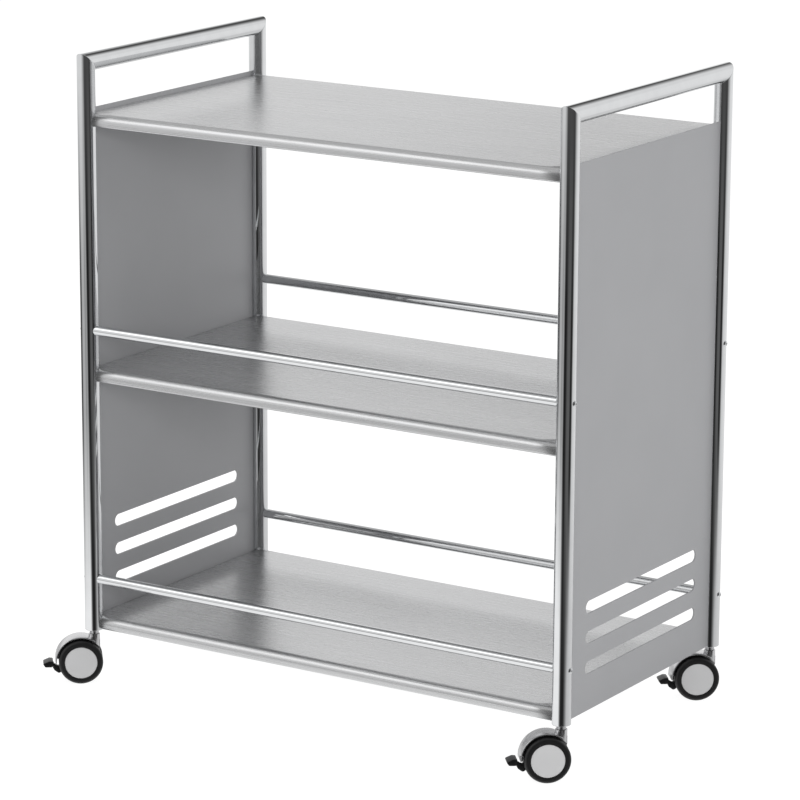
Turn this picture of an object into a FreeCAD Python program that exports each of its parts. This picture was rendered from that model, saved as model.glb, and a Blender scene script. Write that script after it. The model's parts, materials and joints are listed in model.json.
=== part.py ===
import FreeCAD, Part
import math
import os
import re
import Sketcher

# Hostess trolley. Two end frames of mitred round tube, each closed by a sheet
# panel, are joined by three pressed shelves and four guard rails. It stands on
# four twin-wheel castors, each with its own brake lever.
#
# X runs along the trolley, Y from its front to its back and Z up from the
# floor. The origin is on the floor, under the middle of the whole trolley as
# it stands with its castors trailing.

# Every size in millimetres or degrees: its name, its value and what it is.
SIZES = [
    ("post_span_x", 660, "post axes apart, along the trolley"),
    ("post_span_y", 356, "post axes apart, front to back"),
    ("post_radius", 11, "outside radius of posts and handles"),
    ("post_wall", 1.5, "wall of that tube"),
    ("stem_show", 5.5, "stem between a castor's neck and its post"),
    ("rim_bevel", 0.7, "bevel of the posts' lower rims"),
    ("cut_over", 2, "how far a cutting outline runs past the metal"),
    ("seat_gap", 0.05, "gap where a piece is fixed in or on another"),
    ("running_gap", 0.05, "gap at the radius where a piece turns on another"),
    ("shelf_rise", 17, "lower shelf's surface above the posts' feet"),
    ("shelf_pitch", 310, "from one shelf's surface to the next"),
    ("handle_rise", 61, "handle tubes' axes above the top shelf"),
    ("shelf_sheet", 1.2, "sheet that the shelves are pressed from"),
    ("nose_out", 3, "how far a shelf's nose stands out past the post axes"),
    ("nose_height", 15, "height of a shelf's nose"),
    ("nose_radius", 9, "roll from a shelf's surface into its nose"),
    ("lip_depth", 8, "depth of the lip turned in under the nose"),
    ("lip_bend", 2, "outside bend between nose and lip"),
    ("end_bend", 3, "outside bend into a shelf's end flange"),
    ("end_flange", 12, "height of a shelf's end flange"),
    ("post_gap", 0.3, "gap between a shelf's notch and its post"),
    ("panel_offset", 2, "middle of the panel's sheet outside the post axes"),
    ("panel_sheet", 2, "thickness of a side panel"),
    ("panel_foot_rise", 1.5, "a panel's lower edge above the posts' feet"),
    ("panel_rise", 5, "how far a panel stands above the top shelf"),
    ("slot_count", 3, "slots in a panel"),
    ("slot_pitch", 36, "from one slot to the next"),
    ("slot_height", 15, "height of a slot"),
    ("slot_reach", 131, "from a panel's middle to a slot's tip"),
    ("slot_rise", 36, "lowest slot's middle above the lower shelf"),
    ("rail_rise", 48, "rail axis above the shelf that it guards"),
    ("rail_radius", 6, "outside radius of a rail"),
    ("rail_wall", 1.2, "wall of a rail"),
    ("insert_length", 15, "length of the threaded plug in a rail's end"),
    ("insert_recess", 1, "how far the plug sits inside the rail's end"),
    ("screw_radius", 2.5, "shank radius of a rail screw"),
    ("screw_grip", 12, "how far a screw reaches into its plug"),
    ("hole_gap", 0.25, "gap round a screw in its post"),
    ("head_radius", 5.5, "radius of a screw's button head"),
    ("head_height", 2.75, "height of a screw's button head"),
    ("head_flat", 3.2, "radius of the flat on top of the head"),
    ("socket_length", 30, "length of a castor's socket in its post"),
    ("socket_recess", 0.5, "how far the socket sits inside the post"),
    ("socket_cap", 2, "closed end of the socket"),
    ("stem_radius", 5.5, "radius of a castor's stem in its socket"),
    ("swivel_pin_radius", 4, "radius of the stem's lower pin in the neck"),
    ("swivel_gap", 0.3, "gap between neck and stem, and under the pin"),
    ("castor_heading", 219, "which way the castors trail, seen from above"),
    ("trail", 17, "from the swivel axis back to the axle"),
    ("neck_radius", 7, "radius of the castor's neck"),
    ("neck_rise", 2, "neck's top above the hood"),
    ("neck_face", 6.7, "front of the web, ahead of the swivel axis"),
    ("neck_bore", 7, "depth of the neck's bore"),
    ("wheel_radius", 27, "outside radius of a tyre"),
    ("tyre_in", 4, "castor's middle to a tyre's inner side"),
    ("tyre_out", 17, "castor's middle to a tyre's outer side"),
    ("tyre_shoulder", 2, "bevel of a tyre's outer edge"),
    ("disc_radius", 19.7, "radius of a wheel's centre"),
    ("disc_in", 4.3, "castor's middle to the wheel centre's inner face"),
    ("disc_edge", 16.6, "castor's middle to the edge of the disc"),
    ("disc_crown", 18.5, "castor's middle to the crown of the disc"),
    ("crown_flat", 7, "radius of the flat on the disc's crown"),
    ("axle_radius", 3, "radius of the axle"),
    ("axle_half", 15.8, "castor's middle to the axle's end"),
    ("hood_gap", 2.3, "gap between a tyre and the hood"),
    ("hood_wall", 1.7, "thickness of the hood"),
    ("hood_half", 12, "half the width of the hood"),
    ("hood_front", 125, "angle of the hood's front end about the axle"),
    ("hood_back", -3, "angle of the hood's back end about the axle"),
    ("web_half", 3.5, "half the thickness of the web"),
    ("web_back", 5, "angle of the web's back end about the axle"),
    ("web_lower", 6, "web below and ahead of the axle"),
    ("web_chin", 15, "height over the axle where the web's front turns in"),
    ("well_gap", 1.3, "space round a tyre where it passes the neck"),
    ("lever_pin_out", 14.5, "axle back to the lever's pin"),
    ("lever_pin_drop", 6, "axle down to the lever's pin"),
    ("lever_pin_radius", 1.5, "radius of the lever's pin"),
    ("cheek_radius", 6.5, "radius of the web's cheeks round that pin"),
    ("tongue_radius", 4.5, "radius of the lever's eye"),
    ("tongue_half", 1.5, "half the thickness of the lever's tongue"),
    ("tongue_gap", 0.15, "gap at each side of the tongue in its slot"),
    ("arm_half", 3, "half the width of the lever's arm"),
    ("paddle_half", 9, "half the width of the lever's paddle"),
    ("paddle_corner", 3, "rounding of the paddle's corners"),
    ("heel_past", 3.3, "hood back to the paddle's heel"),
    ("heel_rise", 0.3, "axle up to the paddle's heel"),
    ("brow_past", 6.5, "hood back to the paddle's top edge"),
    ("brow_rise", 0.6, "axle up to the paddle's top edge"),
    ("tip_past", 15.7, "hood back to the paddle's tip"),
    ("tip_drop", 2.5, "axle down to the paddle's tip"),
    ("under_past", 12.5, "hood back to the paddle's underside"),
    ("under_drop", 7.2, "axle down to the paddle's underside"),
    ("elbow_past", 6, "hood back to where arm and paddle meet below"),
    ("belly_past", 4.4, "hood back to the arm's belly"),
    ("belly_drop", 11, "axle down to the arm's belly"),
    ("sole_out", 27, "axle back to the arm's lowest point"),
    ("sole_drop", 17, "axle down to the arm's lowest point"),
    ("sole_back", 4, "length of the arm's lower edge past that point"),
    ("root_out", 22.6, "axle back to where the arm narrows to its tongue"),
    ("root_drop", 14.2, "axle down to the tongue's lower edge there"),
    ("root_top_drop", 3.4, "axle down to the tongue's upper edge there"),
    ("throat_past", 1.5, "hood back to the arm's upper edge under it"),
]

# What follows from them.
DERIVED = [
    ("half_x", "post_span_x / 2", "middle to a post's axis, along"),
    ("half_y", "post_span_y / 2", "middle to a post's axis, front to back"),
    ("hood_radius", "wheel_radius + hood_gap + hood_wall", "outside of the hood"),
    ("neck_top_z", "wheel_radius + hood_radius + neck_rise", "height of the neck's top"),
    ("neck_bore_z", "neck_top_z - neck_bore", "floor of the neck's bore"),
    ("foot_z", "neck_top_z + stem_show", "height of the posts' open lower ends"),
    ("lower_shelf_z", "foot_z + shelf_rise", "lower shelf's surface"),
    ("middle_shelf_z", "lower_shelf_z + shelf_pitch", "middle shelf's surface"),
    ("top_shelf_z", "lower_shelf_z + 2 * shelf_pitch", "top shelf's surface"),
    ("handle_z", "top_shelf_z + handle_rise", "height of the handle tubes' axes"),
    ("middle_rail_z", "middle_shelf_z + rail_rise", "upper rails' axes"),
    ("lower_rail_z", "lower_shelf_z + rail_rise", "lower rails' axes"),
    ("panel_foot_z", "foot_z + panel_foot_rise", "height of a panel's lower edge"),
    ("slot_low_z", "lower_shelf_z + slot_rise", "height of the lowest slot's middle"),
    ("panel_face", "half_x + panel_offset - panel_sheet / 2", "panel's inner face"),
    ("plate_end", "panel_face - end_bend", "where a shelf starts to bend down"),
    ("nose_y", "half_y + nose_out", "face of a shelf's nose"),
    ("shell_radius", "post_radius - post_wall", "inside radius of a post"),
    ("rail_bore", "rail_radius - rail_wall", "inside radius of a rail"),
    ("insert_end", "half_x - post_radius - insert_recess", "outer end of a plug"),
    ("screw_seat", "half_x + post_radius", "underside of a screw's head"),
    ("screw_tip", "insert_end - screw_grip", "inner end of a screw"),
    ("socket_z", "foot_z + socket_recess", "lower end of a socket"),
    ("socket_top_z", "socket_z + socket_length", "closed end of a socket"),
    ("shoulder_z", "neck_top_z + swivel_gap", "stem's shoulder over the neck"),
    ("heading_x", "cos(castor_heading)", "trailing direction along X"),
    ("heading_y", "sin(castor_heading)", "trailing direction along Y"),
    ("pin_x", "trail + lever_pin_out", "lever's pin behind the swivel axis"),
    ("pin_z", "wheel_radius - lever_pin_drop", "height of the lever's pin"),
    ("tip_x", "trail + hood_radius + tip_past", "paddle's tip behind the swivel axis"),
    ("web_chin_z", "wheel_radius + web_chin", "where the web's front edge turns in"),
    ("tread_x", "trail - wheel_radius", "front of a tyre from that axis"),
    ("low_x", "tip_x * heading_x + paddle_half * heading_y", "reach to the left"),
    ("high_x", "tread_x * heading_x - disc_crown * heading_y", "reach to the right"),
    ("low_y", "tip_x * heading_y + paddle_half * heading_x", "reach to the front"),
    ("high_y", "tread_x * heading_y - disc_crown * heading_x", "reach to the back"),
    ("frame_x", "-(low_x + high_x) / 2", "shelves' middle from the origin, along X"),
    ("frame_y", "-(low_y + high_y) / 2", "shelves' middle from the origin, along Y"),
]

NAMES = {row[0] for row in SIZES + DERIVED}
LEFT = 1
RIGHT = -1
CORNERS = [("front_left", -1, -1), ("front_right", 1, -1),
           ("rear_left", -1, 1), ("rear_right", 1, 1)]

doc = FreeCAD.newDocument("trolley")
nodes = []


def make_sheet():
    """Fills the sheet, one row for each size."""
    sheet = doc.addObject("Spreadsheet::Sheet", "Sizes")
    row = 0
    for name, value, note in SIZES + DERIVED:
        row += 1
        text = value if isinstance(value, str) else str(value)
        sheet.set("A%d" % row, name)
        sheet.set("B%d" % row, "=" + text if isinstance(value, str) else text)
        sheet.set("C%d" % row, note)
        sheet.setAlias("B%d" % row, name)
    doc.recompute()
    return sheet


def tied(formula):
    """Turns sheet names in a formula into references to the sheet."""
    def swapped(word):
        return "Sizes." + word.group() if word.group() in NAMES else word.group()
    return re.sub(r"[a-z_]+", swapped, str(formula))


def value(formula):
    """The number that a formula gives now."""
    found = sizes.evalExpression(tied(formula))
    return float(getattr(found, "Value", found))


def bind(thing, prop, formula):
    """Ties a property to the sheet."""
    thing.setExpression(prop, tied(formula))


def new_body(label, place, solids=1, heading=None):
    """Starts a piece at its place, a formula for each of X, Y and Z."""
    body = doc.addObject("PartDesign::Body", label)
    body.Label = label
    body.AllowCompound = solids > 1
    turn = FreeCAD.Rotation(FreeCAD.Vector(0, 0, 1), value(heading or 0))
    body.Placement = FreeCAD.Placement(FreeCAD.Vector(0, 0, 0), turn)
    for axis, formula in zip("xyz", place):
        bind(body, ".Placement.Base." + axis, formula)
    if heading:
        bind(body, ".Placement.Rotation.Angle", heading)
    nodes.append((body, solids))
    return body


def origin_part(body, role):
    """The body's own origin plane or axis of that role."""
    return [part for part in body.Origin.OriginFeatures if part.Role == role][0]


def new_sketch(body, role, offset=None):
    """A sketch on one of the body's own planes, or at an offset from it."""
    sketch = body.newObject("Sketcher::SketchObject", "Sketch")
    sketch.AttachmentSupport = (origin_part(body, role), [""])
    sketch.MapMode = "FlatFace"
    if offset:
        bind(sketch, ".AttachmentOffset.Base.z", offset)
    return sketch


def fix_point(sketch, curve, end, across, up):
    """Ties a point of a sketch to two formulas."""
    for kind, formula in (("DistanceX", across), ("DistanceY", up)):
        rule = Sketcher.Constraint(kind, -1, 1, curve, end, value(formula))
        bind(sketch, "Constraints[%d]" % sketch.addConstraint(rule), formula)


def fix_radius(sketch, curve, formula):
    """Ties the radius of an arc or a circle."""
    rule = Sketcher.Constraint("Radius", curve, value(formula))
    bind(sketch, "Constraints[%d]" % sketch.addConstraint(rule), formula)


def arc_between(start, end, radius, turn):
    """The arc of under half a turn from start to end, turning left or right."""
    chord = end - start
    side = FreeCAD.Vector(-chord.y, chord.x, 0).normalize()
    rise = math.sqrt(max(radius ** 2 - (chord.Length / 2) ** 2, 0))
    centre = (start + end) / 2 + side * rise * turn
    first, last = (start, end) if turn == LEFT else (end, start)
    angles = [math.atan2(p.y - centre.y, p.x - centre.x) for p in (first, last)]
    if angles[1] < angles[0]:
        angles[1] += 2 * math.pi
    circle = Part.Circle(centre, FreeCAD.Vector(0, 0, 1), radius)
    return Part.ArcOfCircle(circle, angles[0], angles[1])


def outline(sketch, corners):
    """Draws a closed outline. A corner (x, y) is left by a straight side, and a
    corner (x, y, radius, turn) by an arc. All but the turn are formulas."""
    points = [FreeCAD.Vector(value(c[0]), value(c[1]), 0) for c in corners]
    curves = []
    for corner, start, end in zip(corners, points, points[1:] + points[:1]):
        if len(corner) == 2:
            curve, ends = Part.LineSegment(start, end), (1, 2)
        else:
            curve = arc_between(start, end, value(corner[2]), corner[3])
            ends = (1, 2) if corner[3] == LEFT else (2, 1)
        curves.append((sketch.addGeometry(curve, False), ends))
    for (curve, ends), (after, after_ends) in zip(curves, curves[1:] + curves[:1]):
        sketch.addConstraint(
            Sketcher.Constraint("Coincident", curve, ends[1], after, after_ends[0]))
    for (curve, ends), corner in zip(curves, corners):
        fix_point(sketch, curve, ends[0], corner[0], corner[1])
        if len(corner) == 4:
            fix_radius(sketch, curve, corner[2])


def circle(sketch, across, up, radius):
    """Draws a circle from formulas for its centre and radius."""
    centre = FreeCAD.Vector(value(across), value(up), 0)
    up_axis = FreeCAD.Vector(0, 0, 1)
    curve = sketch.addGeometry(Part.Circle(centre, up_axis, value(radius)), False)
    fix_point(sketch, curve, 3, across, up)
    fix_radius(sketch, curve, radius)


def feature(body, kind, sketch, **bound):
    """Adds a sketch-based feature and ties its lengths to the sheet."""
    made = body.newObject("PartDesign::" + kind, kind)
    made.Profile = sketch
    for name, formula in bound.items():
        bind(made, name, formula)
    return made


def both_ways(body, kind, sketch, length):
    """A pad or pocket that runs as far to each side of its sketch."""
    made = feature(body, kind, sketch, Length=length)
    made.SideType = "Symmetric"
    return made


def turned(body, sketch, axis):
    """A full turn of the sketch about its own H or V axis."""
    made = feature(body, "Revolution", sketch)
    made.ReferenceAxis = (sketch, [axis])
    made.Angle = 360
    return made


def repeated(body, source, runs):
    """Repeats a feature along the body's axes: each run is (axis, extent, count)."""
    patterns = []
    for axis, extent, count in runs:
        pattern = body.newObject("PartDesign::LinearPattern", "Row")
        if len(runs) == 1:
            pattern.Originals = [source]
        pattern.Direction = (origin_part(body, axis), [""])
        bind(pattern, "Length", extent)
        bind(pattern, "Occurrences", count)
        patterns.append(pattern)
    if len(runs) == 1:
        body.Tip = patterns[0]
        return
    grid = body.newObject("PartDesign::MultiTransform", "Grid")
    grid.Originals = [source]
    grid.Transformations = patterns
    body.Tip = grid


# ---------------------------------------------------------------- end frames

def make_post(name, side_x, side_y):
    """A round post, its top mitred for the handle and drilled for two screws."""
    body = new_body("post_" + name, ("frame_x + %d * half_x" % side_x,
                                     "frame_y + %d * half_y" % side_y, "0"))
    wall = new_sketch(body, "XZ_Plane")
    outline(wall, [
        ("shell_radius", "foot_z"),
        ("post_radius - rim_bevel", "foot_z"),
        ("post_radius", "foot_z + rim_bevel"),
        ("post_radius", "handle_z + post_radius"),
        ("shell_radius", "handle_z + post_radius")])
    turned(body, wall, "V_Axis")
    mitre = new_sketch(body, "YZ_Plane")
    reach = "(post_radius + cut_over)"
    outline(mitre, [
        ("%d * %s" % (side_y, reach), "handle_z + " + reach),
        ("%d * %s" % (-side_y, reach), "handle_z - " + reach),
        ("%d * %s" % (-side_y, reach), "handle_z + " + reach)])
    both_ways(body, "Pocket", mitre, "2 * " + reach)
    holes = new_sketch(body, "YZ_Plane")
    for height in ("middle_rail_z", "lower_rail_z"):
        circle(holes, "0", height, "screw_radius + hole_gap")
    both_ways(body, "Pocket", holes, "2 * " + reach)


def make_handle(name, side_x):
    """The tube across the top of an end frame, mitred at both ends."""
    body = new_body("handle_" + name,
                    ("frame_x + %d * half_x" % side_x, "frame_y", "handle_z"))
    ring = new_sketch(body, "XZ_Plane")
    circle(ring, "0", "0", "post_radius")
    circle(ring, "0", "0", "shell_radius")
    both_ways(body, "Pad", ring, "post_span_y + 2 * post_radius")
    reach = "(post_radius + cut_over)"
    mitres = new_sketch(body, "YZ_Plane")
    for side in (-1, 1):
        outline(mitres, [
            ("%d * (half_y + %s)" % (side, reach), reach),
            ("%d * (half_y - %s)" % (side, reach), "-" + reach),
            ("%d * (half_y + %s)" % (side, reach), "-" + reach)])
    both_ways(body, "Pocket", mitres, "2 * " + reach)


def make_panel(name, side_x):
    """The sheet between an end frame's posts, with a row of slots low down."""
    body = new_body("panel_" + name,
                    ("frame_x + %d * half_x" % side_x, "frame_y", "0"))
    offset = "%d * panel_offset" % side_x
    edge = "(half_y - post_radius)"
    sheet = new_sketch(body, "YZ_Plane", offset)
    outline(sheet, [
        ("-" + edge, "panel_foot_z"),
        (edge, "panel_foot_z"),
        (edge, "top_shelf_z + panel_rise"),
        ("-" + edge, "top_shelf_z + panel_rise")])
    both_ways(body, "Pad", sheet, "panel_sheet")
    slot = new_sketch(body, "YZ_Plane", offset)
    tip = "slot_height / 2"
    outline(slot, [
        ("-slot_reach + " + tip, "slot_low_z - " + tip),
        ("slot_reach - " + tip, "slot_low_z - " + tip, tip, LEFT),
        ("slot_reach", "slot_low_z", tip, LEFT),
        ("slot_reach - " + tip, "slot_low_z + " + tip),
        ("-slot_reach + " + tip, "slot_low_z + " + tip, tip, LEFT),
        ("-slot_reach", "slot_low_z", tip, LEFT)])
    cut = both_ways(body, "Pocket", slot, "panel_sheet + 2 * cut_over")
    repeated(body, cut, [("Z_Axis", "slot_pitch * (slot_count - 1)", "slot_count")])


# ------------------------------------------------------------ shelves, rails

def nose_side(sign):
    """Outer side of a nose, from the lip's edge up to the shelf's surface."""
    y = "%d * nose_y + %d * " % (sign, -sign)
    return [
        (y + "lip_depth", "-nose_height"),
        (y + "lip_bend", "-nose_height", "lip_bend"),
        (y + "0", "lip_bend - nose_height"),
        (y + "0", "-nose_radius", "nose_radius"),
        (y + "nose_radius", "0")]


def nose_inside(sign):
    """Inner side of a nose, from the lip's edge up to the shelf's underside."""
    y = "%d * nose_y + %d * " % (sign, -sign)
    return [
        (y + "lip_depth", "shelf_sheet - nose_height"),
        (y + "lip_bend", "shelf_sheet - nose_height", "(lip_bend - shelf_sheet)"),
        (y + "shelf_sheet", "lip_bend - nose_height"),
        (y + "shelf_sheet", "-nose_radius", "(nose_radius - shelf_sheet)"),
        (y + "nose_radius", "-shelf_sheet")]


def forwards(corners, turn):
    """The corners in order, with their arcs turning that way."""
    return [c if len(c) == 2 else c + (turn,) for c in corners]


def backwards(corners, turn):
    """The corners in reverse, each arc moved to the corner that it now leaves."""
    back = []
    for here, after in zip(corners[::-1], corners[-2::-1] + [corners[0][:2]]):
        arc = after[2:] + (turn,) if len(after) == 3 else ()
        back.append(here[:2] + arc)
    return back


def make_shelf(name, height):
    """A pressed shelf: noses along front and back, flanges at the ends, and a
    round notch for each post."""
    body = new_body("shelf_" + name, ("frame_x", "frame_y", height))
    section = new_sketch(body, "YZ_Plane")
    outline(section,
            forwards(nose_side(-1), RIGHT) + backwards(nose_side(1), RIGHT)
            + forwards(nose_inside(1), LEFT) + backwards(nose_inside(-1), LEFT))
    both_ways(body, "Pad", section, "2 * plate_end")
    ends = new_sketch(body, "XZ_Plane")
    for side in (-1, 1):
        x = "%d * " % side
        turn = RIGHT if side == 1 else LEFT
        back = LEFT if side == 1 else RIGHT
        outline(ends, [
            (x + "plate_end", "0", "end_bend", turn),
            (x + "panel_face", "-end_bend"),
            (x + "panel_face", "-end_flange"),
            (x + "(panel_face - shelf_sheet)", "-end_flange"),
            (x + "(panel_face - shelf_sheet)", "-end_bend",
             "end_bend - shelf_sheet", back),
            (x + "plate_end", "-shelf_sheet")])
    both_ways(body, "Pad", ends, "post_span_y")
    notches = new_sketch(body, "XY_Plane")
    for _, side_x, side_y in CORNERS:
        circle(notches, "%d * half_x" % side_x, "%d * half_y" % side_y,
               "post_radius + post_gap")
    both_ways(body, "Pocket", notches, "2 * (nose_height + cut_over)")


def make_rail(name, side_y, height):
    """A guard rail, its ends coped to the two posts."""
    body = new_body("rail_" + name,
                    ("frame_x", "frame_y + %d * half_y" % side_y, height))
    ring = new_sketch(body, "YZ_Plane")
    circle(ring, "0", "0", "rail_radius")
    circle(ring, "0", "0", "rail_bore")
    both_ways(body, "Pad", ring, "post_span_x")
    copes = new_sketch(body, "XY_Plane")
    for side in (-1, 1):
        circle(copes, "%d * half_x" % side, "0", "post_radius + seat_gap")
    both_ways(body, "Pocket", copes, "2 * (rail_radius + cut_over)")


def make_inserts():
    """The threaded plugs in the rails' ends, one solid each."""
    body = new_body("rail_inserts", ("frame_x", "frame_y - half_y", "lower_rail_z"),
                    solids=8)
    section = new_sketch(body, "XZ_Plane")
    inner = "-insert_end + insert_length"
    outline(section, [
        ("-insert_end", "screw_radius + seat_gap"),
        (inner, "screw_radius + seat_gap"),
        (inner, "rail_bore - seat_gap"),
        ("-insert_end", "rail_bore - seat_gap")])
    plug = turned(body, section, "H_Axis")
    repeated(body, plug, [
        ("X_Axis", "2 * insert_end - insert_length", "2"),
        ("Y_Axis", "post_span_y", "2"),
        ("Z_Axis", "shelf_pitch", "2")])


def make_screws(name, side_x):
    """The four screws of one end, through the posts into the rails' plugs."""
    body = new_body("rail_screws_" + name,
                    ("frame_x", "frame_y - half_y", "lower_rail_z"), solids=4)
    x = "%d * " % side_x
    section = new_sketch(body, "XZ_Plane")
    outline(section, [
        (x + "screw_tip", "0"),
        (x + "(screw_seat + head_height)", "0"),
        (x + "(screw_seat + head_height)", "head_flat"),
        (x + "screw_seat", "head_radius"),
        (x + "screw_seat", "screw_radius"),
        (x + "screw_tip", "screw_radius")])
    screw = turned(body, section, "H_Axis")
    repeated(body, screw, [("Y_Axis", "post_span_y", "2"), ("Z_Axis", "shelf_pitch", "2")])


# ------------------------------------------------------------------- castors

def make_socket(name, post):
    """The sleeve in a post's foot that holds the castor's stem."""
    body = new_body("socket_" + name, post)
    section = new_sketch(body, "XZ_Plane")
    outline(section, [
        ("stem_radius + seat_gap", "socket_z"),
        ("shell_radius - seat_gap", "socket_z"),
        ("shell_radius - seat_gap", "socket_top_z"),
        ("0", "socket_top_z"),
        ("0", "socket_top_z - socket_cap"),
        ("stem_radius + seat_gap", "socket_top_z - socket_cap")])
    turned(body, section, "V_Axis")


def make_stem(name, post):
    """The stem: a wide part in the socket and a pin that the neck turns on."""
    body = new_body("stem_" + name, post)
    section = new_sketch(body, "XZ_Plane")
    outline(section, [
        ("0", "neck_bore_z + swivel_gap"),
        ("swivel_pin_radius", "neck_bore_z + swivel_gap"),
        ("swivel_pin_radius", "shoulder_z"),
        ("stem_radius", "shoulder_z"),
        ("stem_radius", "socket_top_z - socket_cap - seat_gap"),
        ("0", "socket_top_z - socket_cap - seat_gap")])
    turned(body, section, "V_Axis")


def round_axle(radius, angle):
    """A point at that radius and angle about the axle."""
    return ("trail + (%s) * cos(%s)" % (radius, angle),
            "wheel_radius + (%s) * sin(%s)" % (radius, angle))


def behind_axle(out, up):
    """A point that far behind and above the axle."""
    return ("trail + (%s)" % out, "wheel_radius + (%s)" % up)


def behind_hood(past, up):
    """A point that far behind the hood's outside, and above the axle."""
    return behind_axle("hood_radius + " + past, up)


def make_housing(name, post):
    """Neck, hood and web in one casting, bored for stem, axle and lever pin."""
    body = new_body("housing_" + name, post, heading="castor_heading")
    inner = "hood_radius - hood_wall"
    web = new_sketch(body, "XZ_Plane")
    chord = "sqrt((hood_radius - hood_wall) ^ 2 - (trail + neck_face) ^ 2)"
    outline(web, [
        round_axle(inner, "web_back") + (inner, LEFT),
        ("-neck_face", "wheel_radius + " + chord),
        ("-neck_face", "web_chin_z"),
        behind_axle("-web_lower", "-web_lower"),
        ("pin_x", "pin_z - tongue_radius"),
        ("pin_x + tongue_radius", "pin_z + tongue_radius")])
    both_ways(body, "Pad", web, "2 * web_half")
    hood = new_sketch(body, "XZ_Plane")
    outline(hood, [
        round_axle("hood_radius", "hood_back") + ("hood_radius", LEFT),
        round_axle("hood_radius", "hood_front"),
        round_axle(inner, "hood_front") + (inner, RIGHT),
        round_axle(inner, "hood_back")])
    both_ways(body, "Pad", hood, "2 * hood_half")
    cheeks = new_sketch(body, "XZ_Plane")
    circle(cheeks, "pin_x", "pin_z", "cheek_radius")
    both_ways(body, "Pad", cheeks, "2 * web_half")
    neck = new_sketch(body, "XZ_Plane")
    outline(neck, [
        ("0", "web_chin_z"),
        ("neck_radius", "web_chin_z"),
        ("neck_radius", "neck_top_z"),
        ("0", "neck_top_z")])
    turned(body, neck, "V_Axis")
    for side in (-1, 1):
        well = new_sketch(body, "XZ_Plane", "%d * (web_half + neck_radius)" % side)
        circle(well, "trail", "wheel_radius", "wheel_radius + well_gap")
        both_ways(body, "Pocket", well, "2 * neck_radius")
    bore = new_sketch(body, "XY_Plane", "neck_top_z")
    circle(bore, "0", "0", "swivel_pin_radius + running_gap")
    feature(body, "Pocket", bore, Length="neck_top_z - neck_bore_z")
    slot = new_sketch(body, "XZ_Plane")
    outline(slot, [
        ("pin_x - tongue_radius - cut_over / 4", "0"),
        ("tip_x", "0"),
        ("tip_x", "pin_z"),
        ("pin_x + cheek_radius", "pin_z + tongue_radius + cut_over / 4"),
        ("pin_x - tongue_radius - cut_over / 4", "pin_z + tongue_radius + cut_over / 4")])
    both_ways(body, "Pocket", slot, "2 * (tongue_half + tongue_gap)")
    bores = new_sketch(body, "XZ_Plane")
    circle(bores, "trail", "wheel_radius", "axle_radius + seat_gap")
    circle(bores, "pin_x", "pin_z", "lever_pin_radius + seat_gap")
    both_ways(body, "Pocket", bores, "2 * (web_half + cut_over)")


def make_pin(label, post, across, up, radius, length):
    """A plain round pin across a castor."""
    body = new_body(label, post, heading="castor_heading")
    section = new_sketch(body, "XZ_Plane")
    circle(section, across, up, radius)
    both_ways(body, "Pad", section, length)


def make_lever(name, post):
    """A brake lever: an eye and tongue in the web's slot, an arm under the
    hood's end and a broad paddle."""
    body = new_body("lever_" + name, post, heading="castor_heading")
    eye = new_sketch(body, "XZ_Plane")
    circle(eye, "pin_x", "pin_z", "tongue_radius")
    both_ways(body, "Pad", eye, "2 * tongue_half")
    tongue = new_sketch(body, "XZ_Plane")
    outline(tongue, [
        ("pin_x", "pin_z - tongue_radius * 0.95"),
        behind_axle("root_out + arm_half", "-root_drop"),
        behind_axle("root_out + arm_half", "-root_top_drop"),
        ("pin_x", "pin_z + tongue_radius * 0.95")])
    both_ways(body, "Pad", tongue, "2 * tongue_half")
    arm = new_sketch(body, "XZ_Plane")
    outline(arm, [
        behind_axle("root_out", "-root_drop"),
        behind_axle("sole_out", "-sole_drop"),
        behind_axle("sole_out + sole_back", "arm_half / 2 - sole_drop"),
        behind_hood("belly_past", "-belly_drop"),
        behind_hood("elbow_past", "-under_drop"),
        behind_hood("brow_past", "brow_rise - arm_half"),
        behind_hood("heel_past", "heel_rise"),
        behind_hood("throat_past", "-root_top_drop"),
        behind_axle("root_out", "-root_top_drop")])
    both_ways(body, "Pad", arm, "2 * arm_half")
    paddle = new_sketch(body, "XZ_Plane")
    outline(paddle, [
        behind_hood("heel_past", "heel_rise"),
        behind_hood("elbow_past", "-under_drop"),
        behind_hood("under_past", "-under_drop"),
        behind_hood("tip_past", "-tip_drop"),
        behind_hood("brow_past", "brow_rise")])
    both_ways(body, "Pad", paddle, "2 * paddle_half")
    drill = new_sketch(body, "XZ_Plane")
    circle(drill, "pin_x", "pin_z", "lever_pin_radius + running_gap")
    both_ways(body, "Pocket", drill, "2 * (tongue_half + cut_over)")
    doc.recompute()
    round_tip(body)


def round_tip(body):
    """Rounds the two corners of the paddle's tip."""
    made = body.Tip
    far = value("tip_x - (tip_past - under_past)") - 0.5
    names = []
    for number, edge in enumerate(made.Shape.Edges, 1):
        box = edge.BoundBox
        if box.XMin > far and box.YLength < 0.01 and box.ZLength > 1:
            names.append("Edge%d" % number)
    corner = body.newObject("PartDesign::Fillet", "Corners")
    corner.Base = (made, names)
    bind(corner, "Radius", "paddle_corner")


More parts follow.
